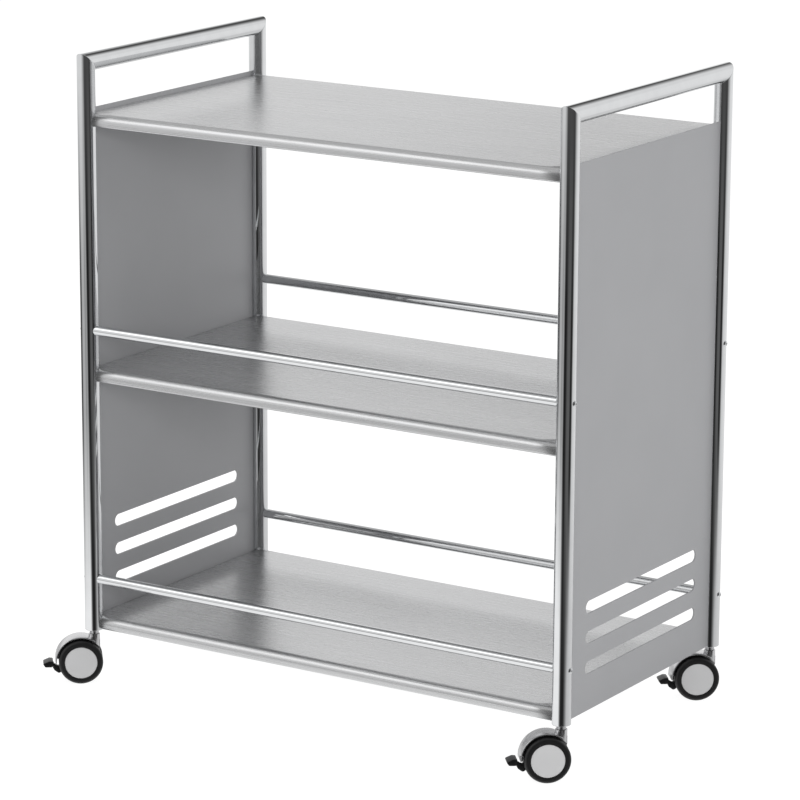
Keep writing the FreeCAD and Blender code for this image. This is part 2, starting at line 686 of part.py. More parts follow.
def make_wheel(name, hub, letter, side):
    """One wheel: a centre with a crowned disc, and the tyre round it."""
    y = "%d * " % side
    centre = new_body("wheel_%s_%s" % (name, letter), hub, heading="castor_heading")
    section = new_sketch(centre, "XY_Plane")
    outline(section, [
        ("axle_radius + running_gap", y + "disc_in"),
        ("disc_radius", y + "disc_in"),
        ("disc_radius", y + "disc_edge"),
        ("crown_flat", y + "disc_crown"),
        ("0", y + "disc_crown"),
        ("0", y + "(axle_half + swivel_gap)"),
        ("axle_radius + running_gap", y + "(axle_half + swivel_gap)")])
    turned(centre, section, "V_Axis")
    tyre = new_body("tyre_%s_%s" % (name, letter), hub, heading="castor_heading")
    ring = new_sketch(tyre, "XY_Plane")
    outline(ring, [
        ("disc_radius + seat_gap", y + "tyre_in"),
        ("wheel_radius", y + "tyre_in"),
        ("wheel_radius", y + "(tyre_out - tyre_shoulder)"),
        ("wheel_radius - tyre_shoulder", y + "tyre_out"),
        ("disc_radius + seat_gap", y + "tyre_out")])
    turned(tyre, ring, "V_Axis")


def make_castor(name, side_x, side_y):
    """A braked twin-wheel castor under one post."""
    post = ("frame_x + %d * half_x" % side_x, "frame_y + %d * half_y" % side_y, "0")
    hub = (post[0] + " + trail * heading_x", post[1] + " + trail * heading_y",
           "wheel_radius")
    make_socket(name, post)
    make_stem(name, post)
    make_housing(name, post)
    make_pin("axle_" + name, post, "trail", "wheel_radius", "axle_radius",
             "2 * axle_half")
    make_pin("lever_pin_" + name, post, "pin_x", "pin_z", "lever_pin_radius",
             "2 * web_half")
    make_lever(name, post)
    make_wheel(name, hub, "a", 1)
    make_wheel(name, hub, "b", -1)


# ---------------------------------------------------------------- all pieces

def check_and_write():
    """Checks every object and writes one file for each piece."""
    for thing in doc.Objects:
        if "Invalid" in thing.State or "Error" in thing.State:
            raise RuntimeError("%s is %s" % (thing.Name, thing.State))
    os.makedirs("parts", exist_ok=True)
    for body, solids in nodes:
        shape = body.Shape
        if shape.isNull() or not shape.isValid() or len(shape.Solids) != solids:
            raise RuntimeError("%s isn't %d sound solids" % (body.Label, solids))
        shape.exportStep("parts/%s.step" % body.Label)
        print("%-24s %10.1f mm3" % (body.Label, shape.Volume))


sizes = make_sheet()
for corner in CORNERS:
    make_post(*corner)
for side_name, side in (("left", -1), ("right", 1)):
    make_handle(side_name, side)
    make_panel(side_name, side)
    make_screws(side_name, side)
for level in ("top", "middle", "lower"):
    make_shelf(level, level + "_shelf_z")
for level in ("middle", "lower"):
    make_rail("front_" + level, -1, level + "_rail_z")
    make_rail("rear_" + level, 1, level + "_rail_z")
make_inserts()
for corner in CORNERS:
    make_castor(*corner)
doc.recompute()
check_and_write()
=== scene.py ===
# %% [markdown]
# # A hostess trolley, dressed for its picture
#
# The CAD model already holds every part at its true size: two end frames of chromed
# tube, three pressed shelves, two side panels, four guard rails and four braked
# castors. This script loads it as a fixed frame and gives each visible part a
# smoother skin, worked out from a formula, and a finish.
#
# Lengths are metres. X runs along the trolley, Y from its front to its back, Z up.

import json
import math

import bpy
import numpy as np
from mathutils import Matrix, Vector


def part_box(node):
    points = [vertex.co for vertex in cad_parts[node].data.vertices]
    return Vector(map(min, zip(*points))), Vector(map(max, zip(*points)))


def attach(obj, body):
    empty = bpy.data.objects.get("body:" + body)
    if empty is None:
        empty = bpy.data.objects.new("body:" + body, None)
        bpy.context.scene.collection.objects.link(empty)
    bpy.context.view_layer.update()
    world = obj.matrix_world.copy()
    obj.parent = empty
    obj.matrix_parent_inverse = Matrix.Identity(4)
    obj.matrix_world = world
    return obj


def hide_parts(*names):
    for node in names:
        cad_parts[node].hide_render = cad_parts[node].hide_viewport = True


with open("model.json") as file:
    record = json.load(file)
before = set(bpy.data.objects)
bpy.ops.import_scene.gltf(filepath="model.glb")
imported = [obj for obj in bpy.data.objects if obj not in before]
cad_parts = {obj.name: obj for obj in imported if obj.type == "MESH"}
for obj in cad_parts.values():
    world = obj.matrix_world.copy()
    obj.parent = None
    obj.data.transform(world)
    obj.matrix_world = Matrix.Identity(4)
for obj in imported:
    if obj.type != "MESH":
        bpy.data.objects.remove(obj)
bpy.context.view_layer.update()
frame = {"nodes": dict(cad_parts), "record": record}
MM = 0.001

# %% [markdown]
# ## Where things are
#
# Places come from the boxes of the CAD nodes, so the skins stay on the frame if a
# size changes there. Only what a box can't tell, such as the radius of a bend, is
# written here as a number.

# %% Corners, heights and the middle of the shelves
CORNERS = {"front_left": (-1, -1), "front_right": (1, -1),
           "rear_left": (-1, 1), "rear_right": (1, 1)}


def box(node):
    """Lowest and highest corner of a CAD node as two arrays."""
    low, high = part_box(node)
    return np.array(low), np.array(high)


post_at = {name: sum(box("post_" + name)) / 2 for name in CORNERS}
middle = sum(post_at.values()) / 4
half_x = (post_at["front_right"][0] - post_at["front_left"][0]) / 2
half_y = (post_at["rear_left"][1] - post_at["front_left"][1]) / 2
TUBE = (box("post_front_left")[1][0] - box("post_front_left")[0][0]) / 2
TUBE_WALL = 1.5 * MM
foot_z = box("post_front_left")[0][2]
handle_z = box("post_front_left")[1][2] - TUBE
shelf_z = {name: box("shelf_" + name)[1][2] for name in ("top", "middle", "lower")}
print("posts %.0f by %.0f mm apart" % (2000 * half_x, 2000 * half_y))

# %% [markdown]
# ## Surfaces from arrays
#
# Every skin is a grid of points: one direction of the grid runs along a profile and
# the other along a path or round an axis. The whole grid is one numpy array, and
# the faces are its neighbouring points taken four at a time. Points that fall
# together, at a seam or a pole, are made one, so that each shell is closed.

# %% Grids to meshes
WELD = 0.001 * MM


def grid_faces(rows, columns, wrap_rows, wrap_columns):
    """Face corners of a grid: (i, j), (i, j+1), (i+1, j+1), (i+1, j), wrapped if asked."""
    i = np.arange(rows if wrap_rows else rows - 1)
    j = np.arange(columns if wrap_columns else columns - 1)
    i, j = np.meshgrid(i, j, indexing="ij")
    after_i, after_j = (i + 1) % rows, (j + 1) % columns
    corners = [i * columns + j, i * columns + after_j,
               after_i * columns + after_j, after_i * columns + j]
    return np.stack(corners, -1).reshape(-1, 4)


def volume_of(points, faces):
    """Signed volume: each face and the origin make a pyramid of a . (b x c) / 6."""
    a, b, c, d = (points[faces[:, k]] for k in range(4))
    return (np.einsum("ij,ij->", a, np.cross(b, c))
            + np.einsum("ij,ij->", a, np.cross(c, d))) / 6


def welded(points, faces):
    """The same faces with equal points made one."""
    _, first, same = np.unique(np.round(points / WELD).astype(np.int64), axis=0,
                               return_index=True, return_inverse=True)
    return points[first], same.reshape(-1)[faces]


def joined(patches):
    """Several patches as one list of points and one of faces."""
    counts = np.cumsum([0] + [len(points) for points, _ in patches])
    points = np.concatenate([points for points, _ in patches])
    faces = [faces + start for (_, faces), start in zip(patches, counts)]
    return points, np.concatenate(faces)


def patch(points, wrap_rows=False, wrap_columns=False, keep=None, closed=True):
    """One shell on a grid. Equal points become one, and a shell whose signed volume
    is negative is turned, so that its faces point outwards."""
    rows, columns = points.shape[:2]
    faces = grid_faces(rows, columns, wrap_rows, wrap_columns)
    if keep is not None:
        faces = faces[keep.reshape(-1)]
    points, faces = welded(points.reshape(-1, 3), faces)
    if closed and volume_of(points - points.mean(0), faces) < 0:
        faces = faces[:, ::-1]
    return points, faces


def polygons(faces):
    """Quads as they are, and quads with two equal neighbouring corners as triangles."""
    equal = faces == np.roll(faces, -1, axis=1)
    whole = faces[equal.sum(1) == 0]
    pinched = faces[equal.sum(1) == 1]
    start = equal[equal.sum(1) == 1].argmax(1)[:, None]
    cut = np.take_along_axis(pinched, (start + np.array([1, 2, 3])) % 4, axis=1)
    return whole.tolist() + cut.tolist()


def new_object(name, points, faces, material):
    """A mesh object at the origin, in its finish."""
    mesh = bpy.data.meshes.new(name)
    mesh.from_pydata(points.tolist(), [], faces)
    mesh.materials.append(material)
    made = bpy.data.objects.new(name, mesh)
    bpy.context.scene.collection.objects.link(made)
    return made


def piece(name, patches, body, slot, nodes, sharp=35):
    """A piece of the trolley from one or more shells: it rides on its body, wears the
    finish of its slot and stands in for CAD nodes. Edges over sharp degrees stay crisp."""
    points, faces = joined(patches)
    made = new_object(name, points, polygons(faces), FINISH[slot])
    made.data.shade_smooth()
    made.data.set_sharp_from_angle(angle=math.radians(sharp))
    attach(made, body)
    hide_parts(*nodes)
    return made


# %% Profiles with rounded corners
def rounded(corners, closed=True, steps=6):
    """An outline of corners (x, y, r). Each corner becomes an arc of radius r that
    touches both sides: its centre lies on the corner's bisector, r / sin(half the
    corner's angle) away, and the arc starts r / tan(half) along each side."""
    spots = np.array([corner[:2] for corner in corners], float)
    outline = []
    for k, corner in enumerate(corners):
        radius = corner[2] if len(corner) > 2 else 0
        if radius == 0 or (not closed and k in (0, len(corners) - 1)):
            outline.append(spots[k][None])
            continue
        here, before, after = spots[k], spots[k - 1], spots[(k + 1) % len(corners)]
        u = (before - here) / np.linalg.norm(before - here)
        v = (after - here) / np.linalg.norm(after - here)
        half = math.acos(np.clip(u @ v, -1, 1)) / 2
        centre = here + (u + v) / np.linalg.norm(u + v) * radius / math.sin(half)
        first, last = (here + w * radius / math.tan(half) - centre for w in (u, v))
        start = math.atan2(first[1], first[0])
        sweep = math.atan2(last[1], last[0]) - start
        sweep = (sweep + math.pi) % (2 * math.pi) - math.pi
        q = start + sweep * np.linspace(0, 1, steps)
        outline.append(centre + radius * np.stack([np.cos(q), np.sin(q)], -1))
    return np.concatenate(outline)


def turned(profile, centre, axis, side, turns=72, wrap=False):
    """A profile of (radius, distance along the axis) turned about the axis:
    P(k, q) = centre + r_k (cos q side + sin q (axis x side)) + d_k axis."""
    axis, side = np.asarray(axis, float), np.asarray(side, float)
    q = np.linspace(0, 2 * math.pi, turns, endpoint=False)[None, :, None]
    r, d = profile[:, 0][:, None, None], profile[:, 1][:, None, None]
    ring = np.cos(q) * side + np.sin(q) * np.cross(axis, side)
    return patch(np.asarray(centre) + r * ring + d * axis, wrap, True)


X, Y, Z = np.eye(3)
print("surface tools ready")

# %% [markdown]
# ## Finishes as expressions
#
# A material is a network of nodes. Adding each Math node by hand is slow to read,
# so a small class wraps a socket and lets `1 - mask * 0.3` add the nodes itself.
# One more method adds any other node from its settings and inputs.

# %% Expressions on sockets
class Wire:
    """An output socket. Arithmetic on it adds Math nodes to its material."""

    def __init__(self, paint, socket):
        self.paint, self.socket = paint, socket

    def maths(self, operation, first, second):
        return self.paint.node("Math", {"operation": operation}, {0: first, 1: second})

    def __add__(self, other):
        return self.maths("ADD", self, other)

    def __rsub__(self, other):
        return self.maths("SUBTRACT", other, self)

    def __mul__(self, other):
        return self.maths("MULTIPLY", self, other)

    __radd__ = __add__


class Paint:
    """A material, or another node tree, in the making."""

    def __init__(self, name, owner=None):
        self.owner = owner or bpy.data.materials.new(name)
        self.owner.use_nodes = True
        self.tree = self.owner.node_tree
        self.tree.nodes.clear()

    def node(self, kind, settings=None, inputs=None, output=0):
        """Adds a node of that kind. Settings come first, then values or links."""
        made = self.tree.nodes.new("ShaderNode" + kind)
        for key, setting in (settings or {}).items():
            if key == "stops":
                stops = made.color_ramp.elements
                stops.remove(stops[1])
                stops[0].color = (setting[0][1],) * 3 + (1,)
                for place, grey in setting[1:]:
                    stops.new(place).color = (grey, grey, grey, 1)
            else:
                setattr(made, key, setting)
        for key, given in (inputs or {}).items():
            if isinstance(given, Wire):
                self.tree.links.new(given.socket, made.inputs[key])
            else:
                made.inputs[key].default_value = given
        return Wire(self, made.outputs[output]) if made.outputs else None

    def place(self, scale):
        """Object coordinates, stretched by scale."""
        where = self.node("TexCoord", output=3)
        return self.node("Mapping", {}, {"Vector": where, "Scale": scale})

    def noise(self, scale, detail=2.0, rough=0.5, stretch=(1, 1, 1)):
        """Soft noise between 0 and 1, with that many waves a metre."""
        return self.node("TexNoise", {}, {"Vector": self.place(stretch), "Scale": scale,
                                          "Detail": detail, "Roughness": rough})

    def tint(self, mask, dark, light):
        """A colour between two colours, by a mask from 0 to 1."""
        return self.node("Mix", {"data_type": "RGBA"},
                         {0: mask, 6: (*dark, 1), 7: (*light, 1)}, output=2)

    def bump(self, height, depth, strength):
        """A normal for a height from 0 to 1, that many metres deep."""
        return self.node("Bump", {}, {"Height": height, "Distance": depth,
                                      "Strength": strength})

    def finish(self, **inputs):
        """The shader itself, wired to the material's output."""
        named = {key.replace("_", " "): given for key, given in inputs.items()}
        shader = self.node("BsdfPrincipled", {}, named)
        self.node("OutputMaterial", {}, {"Surface": shader})
        return self.owner


print("finish tools ready")

# %% [markdown]
# ## The finishes
#
# Chrome is a perfect mirror only in books: a real plated tube has a faint waviness
# from polishing and a bloom of tiny scratches, which soften its reflections. The
# shelves are brushed along their length, so their noise is stretched that way.
# Panels are coated, the castors' housings are satin metal, and the moulded parts have
# a fine grain.

# %% Metals
def chrome():
    """Plated tube: nearly a mirror, with a faint waviness."""
    paint = Paint("polished chrome")
    cloud, wave = paint.noise(60, 3), paint.noise(14, 1)
    return paint.finish(
        Base_Color=paint.tint(cloud, (0.74, 0.75, 0.76), (0.83, 0.84, 0.85)),
        Metallic=1.0, Roughness=0.02 + cloud * 0.03,
        Normal=paint.bump(wave, 0.12 * MM, 0.5))


def brushed():
    """Shelf steel: fine lines along X in its colour, gloss and height."""
    paint = Paint("brushed shelf steel")
    lines = paint.noise(700, 3, 0.6, (0.012, 1, 1))
    broad = paint.noise(9, 3, 0.5, (0.4, 1, 1))
    shade = lines * 0.6 + broad * 0.4
    return paint.finish(
        Base_Color=paint.tint(shade, (0.56, 0.563, 0.57), (0.76, 0.763, 0.77)),
        Metallic=0.88, Roughness=0.20 + lines * 0.16,
        Normal=paint.bump(lines, 0.12 * MM, 1.0))


def plated(name, dark, light):
    """Small steel parts: plated, turned or ground."""
    paint = Paint(name)
    cloud = paint.noise(300, 3)
    return paint.finish(Base_Color=paint.tint(cloud, dark, light), Metallic=1.0,
                        Roughness=0.16 + cloud * 0.12)


# %% Coats, mouldings and the list of finishes
def coat(name, dark, light, gloss, grain, depth, metal=0.0):
    """A coated or moulded surface: two close shades, and a grain in its height."""
    paint = Paint(name)
    fine, broad = paint.noise(grain, 3, 0.6), paint.noise(12, 2)
    shade = fine * 0.4 + broad * 0.6
    return paint.finish(
        Base_Color=paint.tint(shade, dark, light), Metallic=metal,
        Roughness=gloss + fine * 0.1, Normal=paint.bump(fine, depth, 0.6))


FINISH = {
    "tube_chrome": chrome(),
    "screw_plate": plated("screw plating", (0.66, 0.67, 0.68), (0.78, 0.79, 0.8)),
    "shelf_steel": brushed(),
    "panel_coat": coat("satin panel coat", (0.36, 0.363, 0.375),
                       (0.41, 0.413, 0.425), 0.42, 1500, 0.03 * MM, 0.1),
    "castor_silver": coat("satin castor silver", (0.60, 0.60, 0.61),
                          (0.70, 0.70, 0.71), 0.14, 2500, 0.01 * MM, 1.0),
    "disc_silver": coat("satin disc moulding", (0.60, 0.60, 0.605),
                        (0.67, 0.67, 0.675), 0.34, 2500, 0.02 * MM, 0.1),
    "tyre_black": coat("black tyre", (0.004, 0.004, 0.004),
                       (0.009, 0.009, 0.010), 0.42, 1800, 0.04 * MM),
    "lever_black": coat("black lever moulding", (0.003, 0.003, 0.003),
                        (0.006, 0.006, 0.007), 0.30, 2200, 0.02 * MM),
    "socket_black": coat("black socket moulding", (0.014, 0.014, 0.015),
                         (0.024, 0.024, 0.026), 0.45, 1800, 0.03 * MM),
    "pin_steel": plated("turned steel", (0.50, 0.50, 0.51), (0.62, 0.62, 0.63)),
}
slot_of = {part["node"]: part["material_slot"] for part in frame["record"]["subparts"]}
for node, shown in frame["nodes"].items():
    for place in range(len(shown.data.materials)):
        shown.data.materials[place] = FINISH[slot_of[node]]
print("finishes:", ", ".join(FINISH))

# %% [markdown]
# ## Round tubes
#
# Posts, handles and guard rails are all cut from round tube, and differ only in how
# their ends are cut: flat at a foot, on a slant where a post meets its handle, and
# hollowed where a rail meets a post. So one function makes them all. Its two end
# functions say how far the wall reaches at each angle and radius.

# %% One function for every tube
GUARD = 1 * MM


def tube(start, along, across, radius, wall, low, high, rim=0.3 * MM, turns=96):
    """A tube's wall: a loop that runs over the outside, a rounded rim, the inside and
    the other rim, carried round the axis:
    P(s, q) = start + r (cos q across + sin q (along x across)) + t(q, r) along.
    A row close behind each rim keeps the rim's shading off the long straight part."""
    lift = np.linspace(0, math.pi / 2, 4)
    rise = np.append(rim * np.sin(lift), rim)
    inset = np.append(rim * (1 - np.cos(lift)), rim + GUARD)
    outer, inner = radius - rim + rise, radius - wall + rim - rise
    r = np.concatenate([outer, outer[::-1], inner, inner[::-1]])[:, None]
    step = np.concatenate([inset, inset[::-1], inset, inset[::-1]])[:, None]
    far = np.repeat([False, True, True, False], len(rise))[:, None]
    q = np.linspace(0, 2 * math.pi, turns, endpoint=False)[None, :]
    t = np.where(far, high(q, r) - step, low(q, r) + step)
    up = np.cross(along, across)
    ring = np.cos(q)[..., None] * across + np.sin(q)[..., None] * up
    return patch(start + r[..., None] * ring + t[..., None] * along, True, True)


def flat(reach):
    """An end cut square at that reach."""
    return lambda q, r: reach + 0 * q * r


# %% Posts
for name, (_, side_y) in CORNERS.items():
    spot = np.array([*post_at[name][:2], 0])
    slant = lambda q, r, side=side_y: handle_z + side * r * np.sin(q)
    shell = tube(spot, Z, X, TUBE, TUBE_WALL, flat(foot_z), slant)
    piece("post_skin_" + name, [shell], "frame", "tube_chrome", ["post_" + name])
print("posts made")

# %% Handles
for name, side_x in (("left", -1), ("right", 1)):
    spot = np.array([middle[0] + side_x * half_x, middle[1], handle_z])
    front = lambda q, r: -half_y - r * np.cos(q)
    back = lambda q, r: half_y + r * np.cos(q)
    shell = tube(spot, Y, Z, TUBE, TUBE_WALL, front, back)
    piece("handle_skin_" + name, [shell], "frame", "tube_chrome", ["handle_" + name])
print("handles made")

# %% Guard rails
RAIL_WALL, RAIL_SEAT = 1.2 * MM, 0.05 * MM
for place in ("front_middle", "front_lower", "rear_middle", "rear_lower"):
    low, high = box("rail_" + place)
    radius = (high[2] - low[2]) / 2
    spot = np.array([middle[0], *(low + high)[1:] / 2])
    saddle = lambda q, r: half_x - np.sqrt((TUBE + RAIL_SEAT) ** 2 - (r * np.sin(q)) ** 2)
    shell = tube(spot, X, Z, radius, RAIL_WALL, lambda q, r: -saddle(q, r), saddle,
                 rim=0.15 * MM, turns=64)
    piece("rail_skin_" + place, [shell], "frame", "tube_chrome", ["rail_" + place])
print("rails made")

# %% [markdown]
# ## Shelves
#
# A shelf is one sheet of steel. Along front and back it rolls over into a nose with
# a lip turned in below, its ends are folded down as flanges, and round notches clear
# the posts. The sheet's outer face is a single grid: across it runs the nose
# profile, and along it the end folds. Solidify then gives the sheet its thickness.

# %% The pressed sheet
NOSE_HEIGHT, NOSE_ROLL, LIP, LIP_BEND = 15 * MM, 9 * MM, 8 * MM, 2 * MM
END_BEND, END_FLANGE, SHEET = 3 * MM, 12 * MM, 1.2 * MM
NOTCH = TUBE + 0.3 * MM
CLOSE = 0.01 * MM


def cross_profile(nose_y, notch_y):
    """(y, z) across a shelf: lip, bend, nose, roll, then flat to the far side, with
    close points where the notches curve."""
    lip = [(-nose_y + LIP, -NOSE_HEIGHT), (-nose_y, -NOSE_HEIGHT, LIP_BEND),
           (-nose_y, 0, NOSE_ROLL), (0, 0)]
    near = rounded(lip, closed=False, steps=12)[:-1]
    q = np.linspace(0, 1, 10)
    curve = -(notch_y + (half_y - notch_y) * (1 - q) ** 2)
    curve = curve[curve > -nose_y + NOSE_ROLL + 0.1 * MM]
    plain = np.linspace(-notch_y, 0, 9)[1:]
    flat_part = np.concatenate([curve, plain])
    half = np.concatenate([near, np.stack([flat_part, 0 * flat_part], -1)])
    return np.concatenate([half, half[-2::-1] * (-1, 1)])


def shelf(name):
    """P(i, j): row i of the cross profile, column j along X, down the end folds."""
    low, high = box("shelf_" + name)
    centre = np.array([middle[0], middle[1], high[2]])
    nose_y, end_x = (high[1] - low[1]) / 2, (high[0] - low[0]) / 2
    notch_y = half_y - math.sqrt(NOTCH ** 2 - (half_x - end_x + END_BEND) ** 2)
    profile = cross_profile(nose_y, notch_y)
    y, z = profile[:, 0], profile[:, 1]
    reach = half_x - np.sqrt(np.maximum(NOTCH ** 2 - (np.abs(y) - half_y) ** 2, 0))
    inside = np.abs(y) <= notch_y + CLOSE
    reach = np.where(inside, end_x - END_BEND, np.minimum(reach, end_x - END_BEND))
    q = np.linspace(0, math.pi / 2, 7)[1:]
    fold_x = np.concatenate([END_BEND * np.sin(q), [END_BEND]])
    fold_z = np.concatenate([END_BEND * (np.cos(q) - 1), [-END_FLANGE]])
    share = np.linspace(-1, 1, 25)
    x = reach[:, None] * share
    left, right = -reach[:, None] - fold_x[::-1], reach[:, None] + fold_x
    drop = np.concatenate([fold_z[::-1], 0 * share, fold_z])
    points = np.zeros((len(profile), len(drop), 3))
    points[..., 0] = np.concatenate([left, x, right], 1)
    points[..., 1], points[..., 2] = y[:, None], z[:, None] + drop
    rows = (inside[:-1] & inside[1:])[:, None]
    columns = np.zeros(len(drop) - 1, bool)
    columns[len(fold_x):len(fold_x) + len(share) - 1] = True
    shell = patch(points + centre, keep=rows | columns, closed=False)
    here = len(drop) // 2
    along, across = points[0, here + 1] - points[0, here], points[1, here] - points[0, here]
    if np.cross(across, along)[1] > 0:
        shell = (shell[0], shell[1][:, ::-1])
    made = piece("shelf_skin_" + name, [shell], "frame", "shelf_steel",
                 ["shelf_" + name], sharp=40)
    thick = made.modifiers.new("sheet", "SOLIDIFY")
    thick.thickness, thick.offset, thick.use_even_offset = SHEET, -1, True
    soft = made.modifiers.new("edges", "BEVEL")
    soft.width, soft.segments, soft.limit_method = 0.2 * MM, 1, "ANGLE"
    soft.angle_limit = math.radians(60)


for name in shelf_z:
    shelf(name)
print("shelves made")

# %% [markdown]
# ## Side panels
#
# Each end is closed by a flat coated sheet with three round-ended slots low down.
# Round every slot lies a ring of faces that grows from the slot's edge to a plain
# rectangle, and plain strips fill the rest, so no face is long, thin or bent.

# %% Sheets with slots
PANEL_SHEET, SLOT_HALF, SLOT_REACH, SLOT_PITCH = 2 * MM, 7.5 * MM, 131 * MM, 36 * MM
SLOT_HEIGHTS = shelf_z["lower"] + SLOT_PITCH * np.array([1, 2, 3])
ACROSS, ROUND, SUPPORT = 14, 13, 0.08


def slot_ring(x, centre_y, half_width, height):
    """Two loops, the slot's edge and the rectangle round it, joined by one ring.
    The edge is two straight runs and two half circles."""
    q = np.linspace(math.pi / 2, -math.pi / 2, ROUND + 2)[1:-1]
    run = np.linspace(-1, 1, ACROSS)
    straight = SLOT_REACH - SLOT_HALF
    top = np.stack([run * straight, SLOT_HALF + 0 * run], -1)
    bend = np.stack([straight + SLOT_HALF * np.cos(q), SLOT_HALF * np.sin(q)], -1)
    side = np.linspace(1, -1, ROUND + 2)[1:-1] * SLOT_PITCH / 2
    wide = np.stack([run * half_width, SLOT_PITCH / 2 + 0 * run], -1)
    edge = np.stack([half_width + 0 * side, side], -1)
    inner, outer = np.concatenate([top, bend]), np.concatenate([wide, edge])
    inner, outer = np.concatenate([inner, -inner]), np.concatenate([outer, -outer])
    loops = np.stack([inner, inner + (outer - inner) * SUPPORT, outer])
    points = np.stack([x + 0 * loops[..., 0], centre_y + loops[..., 0],
                       height + loops[..., 1]], -1)
    return patch(points, wrap_columns=True, closed=False)


def strip(x, centre_y, half_width, low, high):
    """A plain strip between two heights, with the rings' points along its edges."""
    y = centre_y + np.linspace(-1, 1, ACROSS) * half_width
    y, z = np.meshgrid(y, [low, high])
    return patch(np.stack([x + 0 * y, y, z], -1), closed=False)


def facing(shell, direction):
    """The faces of a flat sheet, each turned to face that way."""
    points, faces = shell
    normal = np.cross(points[faces[:, 1]] - points[faces[:, 0]],
                      points[faces[:, 3]] - points[faces[:, 0]])
    wrong = normal @ direction < 0
    faces = faces.copy()
    faces[wrong] = faces[wrong][:, ::-1]
    return points, faces


for name, side_x in (("left", -1), ("right", 1)):
    low, high = box("panel_" + name)
    x, half_width = (low[0] + high[0]) / 2, (high[1] - low[1]) / 2
    parts = [slot_ring(x, middle[1], half_width, height) for height in SLOT_HEIGHTS]
    parts.append(strip(x, middle[1], half_width, low[2], SLOT_HEIGHTS[0] - SLOT_PITCH / 2))
    parts.append(strip(x, middle[1], half_width, SLOT_HEIGHTS[-1] + SLOT_PITCH / 2, high[2]))
    shell = facing(welded(*joined(parts)), side_x * X)
    made = piece("panel_skin_" + name, [shell], "frame", "panel_coat", ["panel_" + name])
    thick = made.modifiers.new("sheet", "SOLIDIFY")
    thick.thickness, thick.offset = PANEL_SHEET, 0
    soft = made.modifiers.new("edges", "BEVEL")
    soft.width, soft.segments, soft.limit_method = 0.35 * MM, 2, "ANGLE"
print("panels made")

# %% [markdown]
# ## Button-head screws
#
# A screw goes through each post into the rail behind it. Its head is a low dome with
# a six-sided key hole. A turned profile gives the dome, and the key hole is the same
# grid with its radius made to follow a hexagon: r = a / cos(q), q counted from the
# middle of each side.

# %% Heads with key holes
HEAD, HEAD_HEIGHT, KEY, KEY_DEPTH = 3.4 * MM, 1.8 * MM, 1.0 * MM, 1.0 * MM
HEAD_SINK, DOME_START, DOME_FALL = 0.25 * MM, 0.45, 0.34


def screw_head(seat, outwards, turns=48):
    """Rows of (radius, height): key floor, key wall, flat, dome, rim, underside. The
    first four rows follow the hexagon and the others the circle. The dome's height is
    the head's times sqrt(1 - (share of the radius - start)^2 / fall)."""
    dome = np.linspace(DOME_START, 1, 7)
    r = np.concatenate([[0, KEY, KEY, KEY * 1.05], HEAD * dome, [HEAD * 0.97, 0]])
    d = np.concatenate([[HEAD_HEIGHT - KEY_DEPTH] * 2,
                        [HEAD_HEIGHT - 0.1 * MM, HEAD_HEIGHT],
                        HEAD_HEIGHT * np.sqrt(1 - (dome - DOME_START) ** 2 / DOME_FALL),
                        [0, 0]])
    q = np.linspace(0, 2 * math.pi, turns, endpoint=False)
    fold = 1 / np.cos((q + math.pi / 6) % (math.pi / 3) - math.pi / 6)
    share = np.array([1.0] * 4 + [0.0] * (len(r) - 4))[:, None]
    radius = r[:, None] * (1 + share * (fold - 1))
    ring = np.cos(q)[:, None] * Y + np.sin(q)[:, None] * Z
    points = seat + radius[..., None] * ring + d[:, None, None] * outwards
    return patch(points, False, True)


for name, side_x in (("left", -1), ("right", 1)):
    heads = []
    for side_y in (-1, 1):
        for place in ("front_middle", "front_lower"):
            height = sum(box("rail_" + place))[2] / 2
            seat = np.array([middle[0] + side_x * (half_x + TUBE - HEAD_SINK),
                             middle[1] + side_y * half_y, height])
            heads.append(screw_head(seat, side_x * X))
    piece("screw_heads_" + name, heads, "frame", "screw_plate", ["rail_screws_" + name])
print("screws made")

# %% [markdown]
# ## Castors
#
# Each castor is a small machine: a cast hood on a neck, which turns under its post,
# two wheels with rubber tyres, and a lever that presses a brake. One castor is worked
# out in its own directions (x trails, y along the axle, z up), and is then turned to
# the heading that all four share and moved under each post.

# %% A castor's place and heading
HEADING = math.radians(219)
TRAIL, WHEEL = 17 * MM, 27 * MM
TRAILING = np.array([math.cos(HEADING), math.sin(HEADING), 0])
SIDEWAYS = np.array([-math.sin(HEADING), math.cos(HEADING), 0])


def under(post, shell):
    """A shell in castor directions, turned to the heading and put under its post."""
    points, faces = shell
    spot = np.array([post[0], post[1], 0])
    return spot + points @ np.stack([TRAILING, SIDEWAYS, Z]), faces


AXLE = np.array([TRAIL, 0, WHEEL])


def about_axle(corners):
    """Corners (out from the axle, up from it, radius) in millimetres, as metres from
    the post's axis and the ground."""
    return np.array(corners, float) * MM + (TRAIL, WHEEL, 0)


# %% Tyres and discs
TYRE_IN, TYRE_OUT, RIM = 4 * MM, 17 * MM, 19.7 * MM


def tyre(side):
    """A rounded rubber section turned about the axle."""
    section = rounded([(RIM + 0.05 * MM, TYRE_IN, 0.3 * MM), (WHEEL, TYRE_IN, 2.4 * MM),
                       (WHEEL, TYRE_OUT, 3.6 * MM), (RIM + 0.05 * MM, TYRE_OUT, 0.6 * MM)],
                      steps=8)
    return turned(section * (1, side), AXLE, Y, X, 96, wrap=True)


